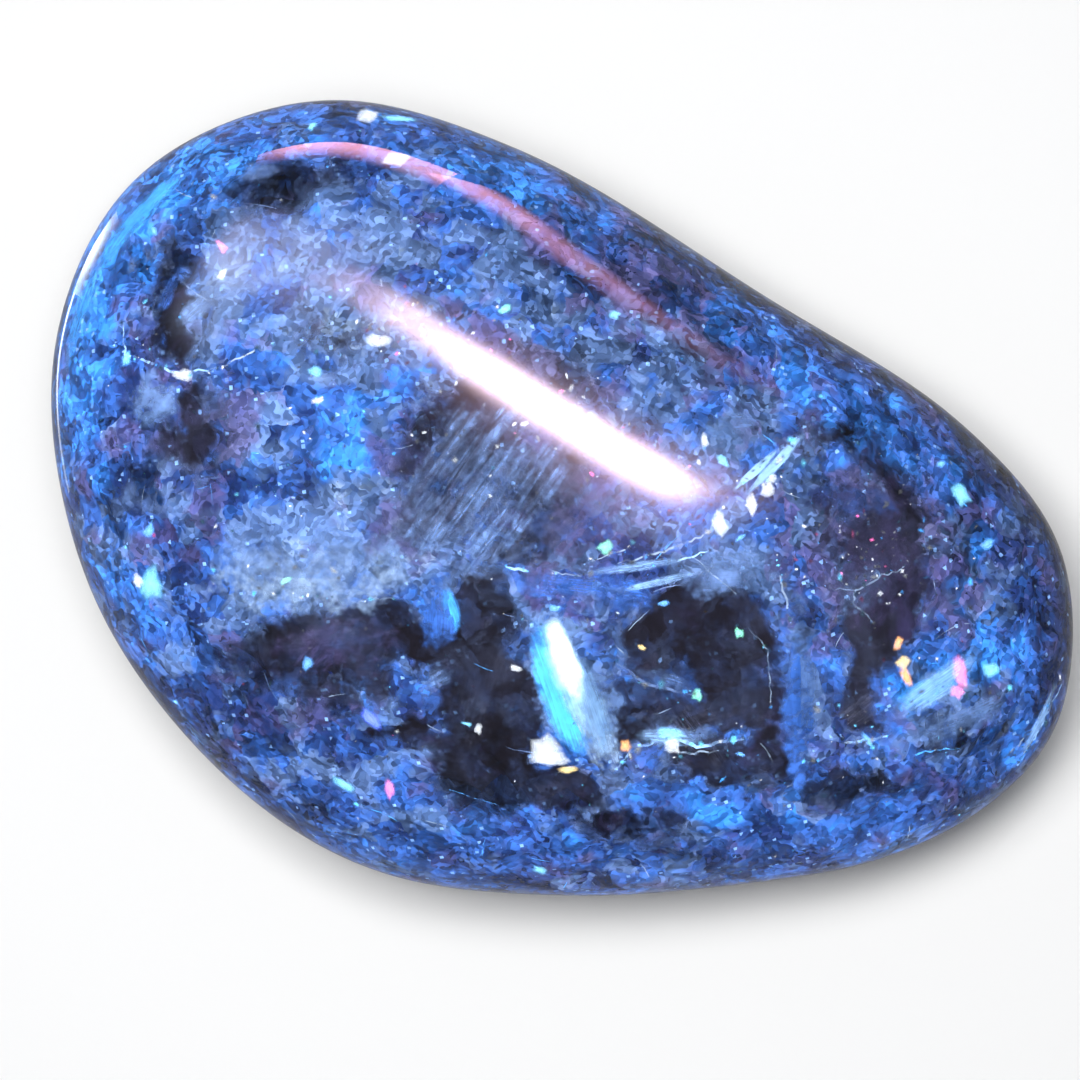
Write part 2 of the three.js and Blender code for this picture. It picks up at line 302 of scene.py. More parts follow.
# Crack faces that catch the lamp: middle, radius in mm, tint.
GLINTS = [
    (-11.2, 10.4, 0.36, "white"), (-10.3, 10.75, 0.36, "cyan"), (-9.8, 9.5, 0.3, "white"),
    (-12.7, 9.3, 0.18, "cyan"), (-13.6, 4.5, 0.2, "pink"), (-7.7, 4.0, 0.26, "white"),
    (-12.9, 0.2, 0.22, "white"), (-14.8, -0.1, 0.18, "cyan"), (-13.2, 3.7, 0.14, "white"),
    (-15.8, 4.0, 0.14, "azure"), (-11.7, -4.8, 0.22, "azure"), (-10.9, -6.3, 0.4, "cyan"),
    (-11.3, -6.4, 0.2, "white"), (-8.5, -9.4, 0.14, "azure"), (-7.0, -4.3, 0.16, "green"),
    (-5.2, -6.4, 0.16, "azure"), (-2.6, -7.1, 0.3, "blue"), (-2.4, -9.4, 0.28, "cyan"),
    (-1.0, -8.9, 0.26, "pink"), (4.5, -9.1, 0.22, "cyan"), (1.8, 1.2, 0.18, "green"),
    (2.9, -5.55, 0.36, "white"), (3.3, -5.7, 0.36, "white"), (3.9, -5.8, 0.2, "gold"),
    (5.2, -4.3, 0.16, "orange"), (4.3, -1.2, 0.12, "gold"), (6.9, 0.6, 0.14, "green"),
    (6.6, -1.8, 0.14, "green"), (11.4, 7.8, 0.3, "cyan"), (14.8, 3.1, 0.24, "cyan"),
    (13.9, 2.6, 0.36, "pink"), (14.1, 2.0, 0.18, "pink"), (11.7, 2.6, 0.18, "orange"),
    (12.1, 2.1, 0.2, "gold"), (12.4, 1.7, 0.26, "orange"), (5.7, 5.2, 0.2, "white"),
    (5.5, 4.5, 0.24, "white"), (4.8, 3.5, 0.26, "white"), (5.6, 3.4, 0.14, "azure"),
    (3.2, 5.7, 0.16, "white"), (4.0, 5.4, 0.2, "cyan"), (6.3, -3.3, 0.3, "cyan"),
    (6.6, -3.6, 0.22, "white"), (0.9, -3.6, 0.14, "white"), (0.3, -5.9, 0.12, "cyan"),
    (0.7, -5.9, 0.12, "white"), (4.3, 0.4, 0.14, "azure"), (-1.2, 8.1, 0.14, "cyan"),
    (-4.5, 6.7, 0.16, "green"), (1.2, -1.3, 0.16, "azure"), (10.4, 8.4, 0.14, "azure"),
    (12.9, 6.7, 0.22, "azure"), (8.7, -2.9, 0.12, "azure"), (12.2, -0.7, 0.22, "azure"),
    (16.9, 3.9, 0.1, "white"), (-9.1, 2.2, 0.16, "cyan"), (-8.6, 1.4, 0.14, "white"),
]
# Crowds of small glints: middle, spread in mm, count, tint.
CROWDS = [
    (-9.2, 2.6, 1.3, 46, "cyan"), (-5.2, 5.6, 1.6, 36, "azure"), (-14.3, 0.2, 0.7, 16, "cyan"),
    (12.2, 6.0, 1.0, 16, "azure"), (7.6, 6.4, 1.3, 22, "cyan"), (6.6, -3.4, 0.8, 22, "cyan"),
    (12.4, -0.8, 0.9, 20, "cyan"), (14.2, 2.4, 1.0, 26, "cyan"), (-8.4, 8.0, 1.6, 26, "azure"),
    (-1.6, -8.6, 2.0, 26, "cyan"), (10.2, 4.2, 1.3, 22, "white"), (-10.4, -4.4, 1.2, 22, "cyan"),
    (2.6, 7.4, 1.6, 22, "azure"), (-3.4, 2.0, 1.6, 26, "white"), (1.2, 1.0, 1.6, 26, "white"),
    (-6.8, -3.6, 1.5, 30, "white"), (-14.6, 5.4, 1.2, 20, "azure"), (9.0, -4.2, 1.2, 14, "azure"),
    (5.2, 4.6, 0.9, 22, "white"), (-7.0, 1.0, 1.0, 20, "azure"), (3.0, -4.6, 1.6, 12, "white"),
    (9.6, 5.0, 1.3, 50, "pink"), (9.4, 5.4, 1.5, 60, "azure"), (-7.6, 5.0, 0.8, 40, "pink"),
    (-4.6, 4.9, 0.7, 40, "pink"), (-1.6, 4.7, 0.7, 40, "pink"), (1.2, 4.4, 0.7, 40, "pink"),
    (3.6, 4.2, 0.7, 40, "pink"),
]
# Glow and shine are bright tints for crack faces and lines that shine: painted highlights.
TINTS = {
    "white": (0.9, 0.98, 1.0), "cyan": (0.16, 0.68, 1.0), "azure": (0.06, 0.4, 1.0),
    "blue": (0.03, 0.12, 1.0), "green": (0.25, 1.0, 0.65), "pink": (1.0, 0.18, 0.5),
    "gold": (1.0, 0.75, 0.25), "orange": (1.0, 0.42, 0.08), "glow": (0.28, 0.5, 0.84),
    "shine": (0.62, 0.8, 0.88), "mist": (0.14, 0.27, 0.46),
}

# Strip lamps: the ends of the long side and the width in mm, the power in W, the colour,
# the strengths along it at shares of its length, and how fast it fades to its long sides.
SKIN_LAMPS = {
    "streak": ((-190, 165, 300), (96, 83, 300), 104, 4.6, (1, 0.74, 0.86),
               ((0.0, 0.0), (0.2, 0.12), (0.42, 0.44), (0.68, 1.0), (0.84, 0.95), (1.0, 0.0)), 3.0),
    "streak_halo": ((-130, 151, 300), (125, 76, 300), 220, 1.1, (1, 0.62, 0.74),
                    ((0.0, 0.0), (0.4, 0.5), (0.8, 1.0), (1.0, 0.0)), 2.0),
    "haze": ((-520, 225, 300), (-130, 150, 300), 260, 1.75, (0.74, 0.70, 1.0),
             ((0.0, 0.0), (0.35, 1.0), (0.8, 0.8), (1.0, 0.3))),
    "low_haze": ((-330, 200, 300), (-330, -30, 300), 210, 0.5, (0.66, 0.74, 1.0),
                 ((0.0, 0.0), (0.3, 1.0), (0.7, 0.8), (1.0, 0.0))),
    "pink_band": ((-222, 206, -14), (-62, 293, 23), 125, 1.05, (1, 0.42, 0.52),
                  ((0.0, 0.3), (0.2, 1.0), (1.0, 0.8))),
    "pink_line": ((-62, 293, 23), (60, 262, 136), 70, 0.42, (1, 0.42, 0.56),
                  ((0.0, 1.0), (0.5, 0.5), (1.0, 0.05))),
    "rim_card": ((-25.4, 5.6, 0.8), (-24, 0.4, 0.8), 9, 0.0012, (0.9, 0.97, 1),
                 ((0.0, 0.2), (0.5, 1.0), (1.0, 0.3))),
    "rim_line": ((-24, 0.4, 0.8), (-20.5, -9, 0.8), 1.6, 0.0003, (0.9, 0.97, 1), ((0.0, 1.0), (1.0, 0.2))),
}
CRACK_LAMPS = {
    "window": ((-420, -60, 330), (-160, 300, 330), 260, 17.1, (1, 1, 1)),
    "overhead": ((-120, -60, 420), (120, -60, 420), 240, 4.2, (1, 1, 1)),
    "fill": ((40, -360, 190), (330, -140, 190), 240, 7.56, (0.94, 0.97, 1)),
}
FLOOR_LAMPS = {
    "ground_light": ((-103, 259, 920), (-248, -127, 920), 168, 4.86, (1, 1, 1)),
    "low_light": ((-4.8, 15.7, 95), (-14, -8.7, 95), 20, 0.0495, (1, 1, 1)),
}


# ---- places in the stone


def settings():
    """The stone's sizes and colours."""
    return bpy.context.scene.quartz


def tint_of(name):
    """A colour by name, from the settings or from the tints of the glints."""
    return (*TINTS[name], 1.0) if name in TINTS else tuple(getattr(settings(), name))


def clamp(value):
    """The value, kept between 0 and 1."""
    return max(0.0, min(1.0, value))


def cloud(place, size, seed=0.0):
    """A soft noise between 0 and 1 with blobs of about the given size."""
    return 0.5 + 0.5 * noise.fractal(place / size + Vector((seed, -seed, 2 * seed)), 1.0, 2.0, 3)


def scatter(rng, spread):
    """A random step of about the given spread in every direction."""
    return Vector([rng.gauss(0, spread) for _ in range(3)])


def spot(place, x, y, half_length, half_width, turn, strength):
    """How strongly a place lies in an oval seen from above, which is full in its heart and fades outwards."""
    offset = Vector((place.x - x * MM, place.y - y * MM))
    if max(abs(offset.x), abs(offset.y)) > OVAL_REACH * max(half_length, half_width) * MM:
        return 0.0
    angle = math.radians(turn)
    along = offset.x * math.cos(angle) + offset.y * math.sin(angle)
    across = offset.y * math.cos(angle) - offset.x * math.sin(angle)
    away = math.hypot(along / (half_length * MM), across / (half_width * MM))
    return strength * clamp(2.4 - 1.8 * away)


def zone(place, seen, ovals, seed):
    """How much of a zone's tone a place has: from the ovals above, from noise on the hidden sides."""
    if place.z > OVALS_END:
        return max(spot(seen, *oval) for oval in ovals)
    start = 0.56 if ovals is WINDOWS else 0.64
    hidden = clamp(10.0 * (ZONES_START - place.z / SIZE.z))
    return clamp(5.0 * (cloud(place, ZONE_SIZE, seed + 20) - start)) * hidden


def stone_copy():
    """A bmesh of the stone's solid, with its loose triangles welded."""
    bm = bmesh.new()
    bm.from_mesh(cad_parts["stone"].data)
    bmesh.ops.remove_doubles(bm, verts=bm.verts, dist=1e-7)
    return bm


def stone_tree():
    """The stone's surface, ready for ray casting."""
    bm = stone_copy()
    tree = BVHTree.FromBMesh(bm)
    bm.free()
    return tree


def refracted(look, normal):
    """The way that a look takes once the skin with this normal has bent it."""
    share = 1 / settings().refraction
    facing = -look.dot(normal)
    return share * look + (share * facing - math.sqrt(1 - share * share * (1 - facing * facing))) * normal


def under_skin(tree, x, y, depth):
    """The place seen at x, y that lies a depth below the skin, all in mm; the look there, the normal."""
    target = Vector((x * MM, y * MM, GIRDLE))
    look = (target - EYE).normalized()
    hit, normal = tree.ray_cast(EYE, look)[:2]
    if hit is None:
        hit, normal = tree.find_nearest(target)[:2]
    look = refracted(look, normal)
    return hit - look * (depth * MM / look.dot(normal)), look, normal


def seen_at(tree, place):
    """Where the eye sees a place inside the stone, on the level of the girdle."""
    skin, normal, _, depth = tree.find_nearest(place)
    look = refracted((skin - EYE).normalized(), normal)
    crossing = place + look * (depth / look.dot(normal))
    return EYE.lerp(crossing, (GIRDLE - EYE.z) / (crossing.z - EYE.z))


def facing_lamp(place, look):
    """The way a crack face turns to throw the window's light back along a look."""
    return ((WINDOW_MIDDLE - place).normalized() - look).normalized()


def anywhere(tree, rng, depth):
    """A random place a depth in metres below the skin, and the outward direction there."""
    way = Vector((rng.gauss(0, 1) * SIZE.x, rng.gauss(0, 1) * SIZE.y, rng.gauss(0, 1) * SIZE.z))
    hit, normal = tree.ray_cast(HEART, way.normalized())[:2]
    outward = normal if normal.dot(way) > 0 else -normal
    return hit - outward * depth, outward


def kept_under(tree, place, depth):
    """The place, moved inwards where it lies less than a depth under the skin."""
    skin, normal, _, _ = tree.find_nearest(place)
    return place - normal * max(0.0, depth - (skin - place).dot(normal))


def wandering(points, rng, stray):
    """A path through points in mm with small random kinks between them."""
    path = []
    for first, second in zip(points, points[1:]):
        start, end = Vector(first), Vector(second)
        steps = max(2, round((end - start).length / KINK_LENGTH))
        sideways = Vector((start.y - end.y, end.x - start.x)).normalized()
        for step in range(steps):
            path.append(start.lerp(end, step / steps) + sideways * rng.gauss(0, stray))
    path.append(Vector(points[-1]))
    return path


# ---- meshes


def new_object(name, data):
    """An object in the scene."""
    thing = bpy.data.objects.new(name, data)
    bpy.context.scene.collection.objects.link(thing)
    return thing


def mesh_object(name, bm, material):
    """An object in the scene that a bmesh is turned into."""
    mesh = bpy.data.meshes.new(name)
    bm.to_mesh(mesh)
    bm.free()
    mesh.materials.append(material)
    return new_object(name, mesh)


def finish_piece(name, bm, material, smooth=False):
    """Turns a bmesh into a piece that rides with the stone."""
    piece = mesh_object(name, bm, material)
    if smooth:
        piece.data.shade_smooth()
    else:
        piece.data.shade_flat()
    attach(piece, "root")
    return piece


def crumpled_sheet(bm, tree, top, reach, crumple, rounds, seed):
    """Fills a bmesh with a crumpled closed sheet that follows the stone's surface from inside."""
    bmesh.ops.create_icosphere(bm, subdivisions=rounds, radius=1.0)
    half = SIZE / 2
    for vert in bm.verts:
        way = Vector((vert.co.x * half.x, vert.co.y * half.y, vert.co.z * half.z))
        hit = tree.ray_cast(HEART, way.normalized())[0]
        inward = (HEART - hit).normalized()
        vert.co = hit + inward * (top + reach * clamp(cloud(hit, crumple, seed)))


def paint(bm, tree, seed):
    """Writes the dye of every vertex: azure, pale, plum; and dim, clear, and a random shade for the painted
    light on the plates.
    """
    rng = random.Random(seed)
    tone = bm.verts.layers.float_color.new("tone")
    mood = bm.verts.layers.float_color.new("mood")
    for vert in bm.verts:
        place = vert.co.copy()
        sideways = Vector((cloud(place, 1.3 * MM, 1) - 0.5, cloud(place, 1.1 * MM, 8) - 0.5, 0))
        seen = seen_at(tree, place) + sideways * ZONE_STRAY * MM
        zones = enumerate((AZURE, PALE, PLUM, DIM, WINDOWS), start=1)
        shares = [zone(place, seen, ovals, kind) for kind, ovals in zones]
        vert[tone] = (*shares[:3], 1.0)
        vert[mood] = (*shares[3:], rng.random(), 1.0)


def crack_layer(name, top, reach, crumple, rounds, seeds):
    """Makes a crumpled sheet of dyed cracks under the whole skin."""
    bm = bmesh.new()
    tree = stone_tree()
    crumpled_sheet(bm, tree, top, reach, crumple, rounds, seeds[0])
    paint(bm, tree, seeds[1])
    finish_piece(name, bm, crack_material("dyed_" + name), smooth=True)


def add_veil(bm, layers, tree, middle, along, across, depth, tint, cover, streaks, rough, seed):
    """Adds one curved crack face that stays a depth below the skin, and writes how it looks."""
    tints, courses = layers
    grid = bmesh.ops.create_grid(bm, x_segments=14, y_segments=8, size=1.0)["verts"]
    facing = along.cross(across).normalized()
    for vert in grid:
        u, v = vert.co.x, vert.co.y
        fold = VEIL_FOLD * (cloud(Vector((u, v, seed)), 0.7) - 0.5)
        bend = VEIL_BEND * along.length * (u * u + v * v)
        place = middle + along * u + across * v + facing * (fold - bend)
        vert.co = kept_under(tree, place, depth + 0.2 * fold)
        vert[tints] = (*tint[:3], streaks)
        vert[courses] = (0.5 + 0.5 * u, 0.5 + 0.5 * v, cover, rough)


def add_edge(bm, tints, places, normals, width, tint):
    """Adds one ribbon along a path: a crack seen edge on, which narrows to both ends."""
    count = len(places)
    sides = []
    for step, (place, normal) in enumerate(zip(places, normals)):
        way = places[min(step + 1, count - 1)] - places[max(step - 1, 0)]
        half = 0.5 * width * (0.15 + 0.85 * math.sin(math.pi * (step + 0.01) / count) ** 0.6)
        sides.append(way.cross(normal).normalized() * half)
    ends = [bm.verts.new(places[0] - sides[0]), bm.verts.new(places[0] + sides[0])]
    edge = bm.edges.new(ends)
    for vert in ends:
        vert[tints] = tint
    for place, side in zip(places[1:], sides[1:]):
        grown = bmesh.ops.extrude_edge_only(bm, edges=[edge])["geom"]
        edge = next(item for item in grown if isinstance(item, bmesh.types.BMEdge))
        first, second = edge.verts
        if (first.co - second.co).dot(side) > 0:
            first, second = second, first
        first.co, second.co = place - side, place + side
        first[tints] = second[tints] = tint


def add_glint(bm, layers, place, normal, aim, radius, corners, heart, rim, rng):
    """Adds one uneven crack face, whose painted glow fades from heart to rim and whose steps face the aim."""
    tints, aims = layers
    turn = Matrix.Rotation(rng.uniform(0, math.pi), 4, "Z")
    facing = normal.to_track_quat("Z", "Y").to_matrix().to_4x4() @ turn
    matrix = Matrix.Translation(place) @ facing @ Matrix.Diagonal((1.1, rng.uniform(0.45, 1.0), 1, 1))
    shape = {"segments": corners, "radius": radius, "matrix": matrix}
    made = bmesh.ops.create_circle(bm, cap_ends=True, cap_tris=True, **shape)
    middle = min(made["verts"], key=lambda vert: (vert.co - place).length_squared)
    for vert in made["verts"]:
        vert.co = place.lerp(vert.co, rng.uniform(0.7, 1.3))
        vert[tints] = (*rim, 0.0)
        vert[aims] = aim
    middle[tints] = (*heart, 1.0)


# ---- shader parts


class Value:
    """A value that a node gives, which takes part in sums and products."""

    def __init__(self, socket):
        self.socket = socket
        self.tree = socket.id_data

    def maths(self, operation, other=0.0):
        """A Math node on this value and another one."""
        node = add_node(self.tree, "ShaderNodeMath", operation=operation)
        feed(node.inputs, (self, other))
        return Value(node.outputs[0])

    def __add__(self, other):
        return self.maths("ADD", other)

    def __sub__(self, other):
        return self.maths("SUBTRACT", other)

    def __mul__(self, other):
        return self.maths("MULTIPLY", other)

    def __rsub__(self, other):
        return self * -1.0 + other

    __radd__, __rmul__ = __add__, __mul__

    def step(self, low, high):
        """Runs smoothly from 0 at low to 1 at high."""
        node = add_node(self.tree, "ShaderNodeMapRange", interpolation_type="SMOOTHSTEP")
        dress(node, {"Value": self, "From Min": low, "From Max": high})
        return Value(node.outputs["Result"])

    def lift(self, low, high):
        """Carries the value from 0..1 to low..high."""
        return self * (high - low) + low


def feed(sockets, values):
    """Gives each socket its value, which comes from a node or is plain."""
    for socket, value in zip(sockets, values):
        if isinstance(value, Value):
            value.tree.links.new(value.socket, socket)
        else:
            socket.default_value = value


def dress(node, values):
    """Gives a node's sockets their values by name."""
    feed([node.inputs[name] for name in values], values.values())


def add_node(tree, kind, **values):
    """Adds a node, setting its inputs by name and its options by attribute."""
    node = tree.nodes.new(kind)
    for name, value in values.items():
        words = name.replace("_", " ").title()
        if words in node.inputs:
            dress(node, {words: value})
        else:
            setattr(node, name, value)
    return node


def given_by(tree, kind, **values):
    """The values that a new node gives."""
    return [Value(part) for part in add_node(tree, kind, **values).outputs]


def vector_maths(operation, *vectors, **values):
    """A Vector Math node on one or two vectors, the first of which comes from a node."""
    node = add_node(vectors[0].tree, "ShaderNodeVectorMath", operation=operation, **values)
    feed(node.inputs, vectors)
    return Value(node.outputs[0])


def blend(share, first, second, how="MIX"):
    """A colour laid over another one, which shows by its share."""
    tree = next(value.tree for value in (share, first) if isinstance(value, Value))
    node = add_node(tree, "ShaderNodeMix", data_type="RGBA", blend_type=how)
    feed((node.inputs[0], node.inputs[6], node.inputs[7]), (share, first, second))
    return Value(node.outputs[2])


def channels(colour):
    """The three channels of a colour."""
    return given_by(colour.tree, "ShaderNodeSeparateColor", color=colour)


def own_place(tree):
    """The place on the piece itself, in metres."""
    return Value(add_node(tree, "ShaderNodeTexCoord").outputs["Object"])


def carried(tree, layer):
    """The colour and the alpha that the vertices carry in a layer."""
    read = add_node(tree, "ShaderNodeAttribute", attribute_name=layer).outputs
    return Value(read["Color"]), Value(read["Alpha"])


def noise_over(place, scale, **values):
    """The strength and the colours of noise with so many blobs to a metre."""
    return given_by(place.tree, "ShaderNodeTexNoise", vector=place, scale=scale, **values)


def cells(place, scale, turn):
    """Random colours in blocky cells, as cleaved crystal has."""
    turns = (turn, 2 * turn, 3 * turn)
    turned, = given_by(place.tree, "ShaderNodeMapping", vector=place, rotation=turns, scale=(scale,) * 3)
    _, colour = given_by(place.tree, "ShaderNodeTexWhiteNoise", vector=vector_maths("FLOOR", turned))
    return colour


def switch_by_ray(tree, ray, usual, other, end):
    """Leads one shader to an end node, and another one for the rays of one kind."""
    path = add_node(tree, "ShaderNodeLightPath")
    mix = add_node(tree, "ShaderNodeMixShader")
    feed(mix.inputs, [Value(part) for part in (path.outputs[ray], usual.outputs[0], other.outputs[0])])
    dress(end, {"Surface": Value(mix.outputs[0])})


def new_material(name):
    """A material, its node tree and its shader."""
    material = bpy.data.materials.new(name)
    material.use_nodes = True
    tree = material.node_tree
    return material, tree, tree.nodes["Principled BSDF"]


def new_group(name, inputs, outputs):
    """A shader node group with float inputs; outputs are pairs of a name and a socket kind."""
    group = bpy.data.node_groups.new(name, "ShaderNodeTree")
    for words in inputs:
        group.interface.new_socket(words, in_out="INPUT", socket_type="NodeSocketFloat")
    for words, kind in outputs:
        group.interface.new_socket(words, in_out="OUTPUT", socket_type="NodeSocket" + kind)
    return group, group.nodes.new("NodeGroupInput").outputs, group.nodes.new("NodeGroupOutput").inputs


# ---- materials


def crystal_material():
    """Clear, faintly smoky quartz that lets lamplight straight through to the cracks."""
    chosen = settings()
    material, tree, shader = new_material("polished_quartz")
    dress(shader, {"Base Color": (1, 1, 1, 1), "Roughness": chosen.polish, "IOR": chosen.refraction,
                   "Transmission Weight": 1.0})
    smoke = add_node(tree, "ShaderNodeVolumeAbsorption", color=chosen.smoke_colour, density=chosen.smoke)
    clear = add_node(tree, "ShaderNodeBsdfTransparent", color=chosen.shade_colour)
    out = tree.nodes["Material Output"]
    switch_by_ray(tree, "Is Shadow Ray", shader, clear, out)
    dress(out, {"Volume": Value(smoke.outputs[0])})
    return material


def dye_group():
    """The colour, cover and facets of dyed crack walls: plates of crackle with mottled dye on them."""
    found = bpy.data.node_groups.get("dyed_cracks")
    if found:
        return found
    chosen = settings()
    names = ("Azure", "Pale", "Plum", "Dim", "Clear", "Shade", "Facet")
    results = (("Color", "Color"), ("Roughness", "Float"), ("Alpha", "Float"), ("Normal", "Vector"))
    group, given, result = new_group("dyed_cracks", names, results)
    azure, pale, plum, dim, clear, shade, facet = [Value(given[name]) for name in names]
    place = own_place(group)

    # The grain: mottled dye on crackle plates, and small chips on the plates.
    _, mottle = noise_over(place, MOTTLE_SCALE, detail=3.0, roughness=0.66)
    stray = vector_maths("SCALE", vector_maths("SUBTRACT", mottle, (0.5, 0.5, 0.5)), scale=PLATE_STRAY)
    strayed = vector_maths("ADD", place, stray)
    plates = cells(strayed, PLATE_SCALE, 0.4)
    chips = cells(strayed, CHIP_SCALE, 0.7)
    mottles, plate, chip = channels(mottle), channels(plates), channels(chips)

    # How much of each dye there is.
    strength = mottles[0] + ((plate[0] - 0.5) * 0.22 + (chip[0] - 0.5) * 0.16)
    strength = strength + azure * 0.25 - dim * 0.2 - plum * 0.06
    slaty = mottles[1] + (plate[1] - 0.5) * 0.3 + pale * 0.35 - azure * 0.2 - dim * 0.1
    plummy = mottles[2] + (plate[2] - 0.5) * 0.3 + plum * 0.3
    whitish = mottles[1] + pale * 0.3 + chip[1] * 0.12

    # The dyes over one another, each by how much there is of it.
    colour = blend(strength.step(0.34, 0.54), chosen.navy, chosen.cobalt)
    colour = blend(strength.step(0.58, 0.84), colour, chosen.azure)
    colour = blend(slaty.step(0.46, 0.66) * 0.85, colour, chosen.slate)
    colour = blend(plummy.step(0.6, 0.8) * 0.8, colour, chosen.plum)
    colour = blend(whitish.step(0.80, 1.02) * 0.8, colour, chosen.pale)

    # Painted light: chips and plates painted lighter or darker as if they caught more or less light; clear
    # quartz darkened to ash, a painted shade; and single sparks, painted glints.
    light = chip[2].lift(0.66, 1.34) * shade.lift(0.85, 1.15) * plate[2].lift(0.78, 1.22)
    colour = blend(1.0, colour, light, "MULTIPLY")
    # Clear quartz is darkened to ash: painted shade, the dark seen through it.
    colour = blend(clear * 0.75, colour, chosen.ash)
    # Single sparks painted into the crack colour: painted glints.
    spark = channels(cells(place, PAINTED_GLINT_SCALE, 1.1))[0]
    colour = blend(spark.step(0.985, 1.0), colour, PAINTED_GLINT_COLOUR)

    # The walls cover what lies under them as solid plates, or as a thin film.
    body = 0.94 - clear + (mottles[0] - 0.5) * 1.5 + (plate[1] - 0.5) * 0.25
    solid = body.step(0.18, 0.72) * chip[2].lift(0.8, 1.2)
    film = (mottles[2] + plate[0] * 0.2).step(0.54, 0.80) * 0.3

    # Each plate and chip tilts its own way.
    tilt = vector_maths("SUBTRACT", vector_maths("ADD", plates, chips), (1.0, 1.0, 1.0))
    level = Value(add_node(group, "ShaderNodeNewGeometry").outputs["Normal"])
    tilted = vector_maths("ADD", level, vector_maths("SCALE", tilt, scale=facet))
    normal = vector_maths("NORMALIZE", tilted)
    feed(result, (colour, chip[0].lift(0.3, 0.6), solid.maths("MAXIMUM", film), normal))
    return group


def crack_material(name):
    """Dyed crack walls with a silky glint."""
    material, tree, shader = new_material(name)
    dye = add_node(tree, "ShaderNodeGroup", node_tree=dye_group(), facet=0.8)
    for layer, names in (("tone", ("Azure", "Pale", "Plum")), ("mood", ("Dim", "Clear", "Shade"))):
        feed([dye.inputs[name] for name in names], channels(carried(tree, layer)[0]))
    colour, roughness, alpha, normal = [Value(part) for part in dye.outputs]
    dress(shader, {"Base Color": colour, "Roughness": roughness, "Alpha": alpha, "Normal": normal,
                   "Metallic": 0.2, "Specular IOR Level": 0.1})
    return material


def shade_core_material():
    """A dark, cloudy sheet in the middle: painted shade, the dark seen through the clear quartz."""
    chosen = settings()
    material, tree, shader = new_material("smoky_core")
    _, clouds = noise_over(own_place(tree), SMOKE_SCALE, detail=4.0, roughness=0.6, distortion=0.6)
    shares = channels(clouds)
    colour = blend(shares[0].step(0.45, 0.75), chosen.darkest_shade, chosen.ash)
    colour = blend(shares[1].step(0.55, 0.75) * 0.7, colour, chosen.plum)
    dress(shader, {"Base Color": colour, "Roughness": 0.6, "Specular IOR Level": 0.0})
    return material


def veil_material():
    """Curved crack faces, some finely striated, speckled and with ragged, fading edges."""
    material, tree, shader = new_material("striated_veils")
    place = own_place(tree)
    tint, streaks = carried(tree, "tint")
    course, rough = carried(tree, "course")
    along, across, cover = channels(course)

    # Threads run along a veil, and rags and chips lie all over it.
    lie, = given_by(tree, "ShaderNodeCombineXYZ", x=along * 2.2, y=across * 13.0, z=cover * 9.0)
    threads, _ = noise_over(lie, 1.6, detail=2.0, roughness=0.7, distortion=0.8)
    bright = threads.step(0.35, 0.68)
    ragged, _ = noise_over(place, RAG_SCALE, detail=3.0, roughness=0.8)
    rag = (ragged - 0.5) * rough
    chip = (channels(cells(place, VEIL_CHIP_SCALE, 0.9))[0] - 0.5) * rough
    light = 0.85 + rag * 2.0 + chip * 0.4 + (bright - 0.5) * streaks * 0.9

    def squared(value):
        """The square of how far a value between 0 and 1 is from the middle, 1 at the ends."""
        away = value * 2.0 - 1.0
        return away * away

    # It fades to its ragged edge, and is thinner between the threads.
    edge = 0.8 - (squared(along) + squared(across)) + rag * 2.0
    grain = (threads - 0.5) * streaks + rag
    body = edge.step(0.1, 0.8) * (0.85 + grain * 1.6)
    gaps = 1.0 - (1.0 - bright) * streaks * 0.85
    dress(shader, {"Base Color": blend(1.0, tint, light, "MULTIPLY"), "Alpha": body * gaps * cover,
                   "Roughness": 0.4, "Metallic": 0.15, "Specular IOR Level": 0.1})
    return material


def glint_material(name, metallic, roughness, beads, aimed=False):
    """Small bright crack faces with uneven beads of light; the steps of aimed ones face their aim."""
    material, tree, shader = new_material(name)
    tint, fade = carried(tree, "tint")
    grain, _ = noise_over(own_place(tree), BEAD_SCALE, detail=1.0)
    light = 1.0 - beads + grain.step(0.38, 0.62) * beads
    dress(shader, {"Base Color": tint, "Alpha": fade * light, "Metallic": metallic, "Roughness": roughness})
    if aimed:
        aim = add_node(tree, "ShaderNodeAttribute", attribute_name="aim")
        dress(shader, {"Normal": Value(aim.outputs["Vector"])})
    return material


def floor_material():
    """A pale, matt floor that throws little light back at the stone."""
    material, tree, shader = new_material("pale_floor")
    dress(shader, {"Base Color": (0.86, 0.86, 0.86, 1), "Roughness": 0.9, "Specular IOR Level": 0.1})
    dim = add_node(tree, "ShaderNodeBsdfDiffuse", color=(0.3, 0.3, 0.31, 1))
    switch_by_ray(tree, "Is Camera Ray", dim, shader, tree.nodes["Material Output"])
    return material


# ---- pieces


class QUARTZ_OT_polished_stone(bpy.types.Operator):
    """Makes the clear, polished body of the stone"""

    bl_idname = "quartz.polished_stone"
    bl_label = "Polished Stone"

    def execute(self, context):
        bm = stone_copy()
        bmesh.ops.join_triangles(bm, faces=bm.faces, angle_face_threshold=0.5, angle_shape_threshold=0.7)
        stone = finish_piece("polished_stone", bm, crystal_material(), smooth=True)
        rounding = stone.modifiers.new("rounding", "SUBSURF")
        rounding.levels = rounding.render_levels = 2
        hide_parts("stone")
        return {"FINISHED"}


class QUARTZ_OT_skin_cracks(bpy.types.Operator):
    """Makes the crumpled, dyed cracks close under the polished skin"""

    bl_idname = "quartz.skin_cracks"
    bl_label = "Skin Cracks"

    def execute(self, context):
        chosen = settings()
        rounds = chosen.sheet_rounds
        crack_layer("skin_cracks", chosen.skin_top, chosen.skin_reach, SKIN_CRUMPLE, rounds, SKIN_SEEDS)
        return {"FINISHED"}


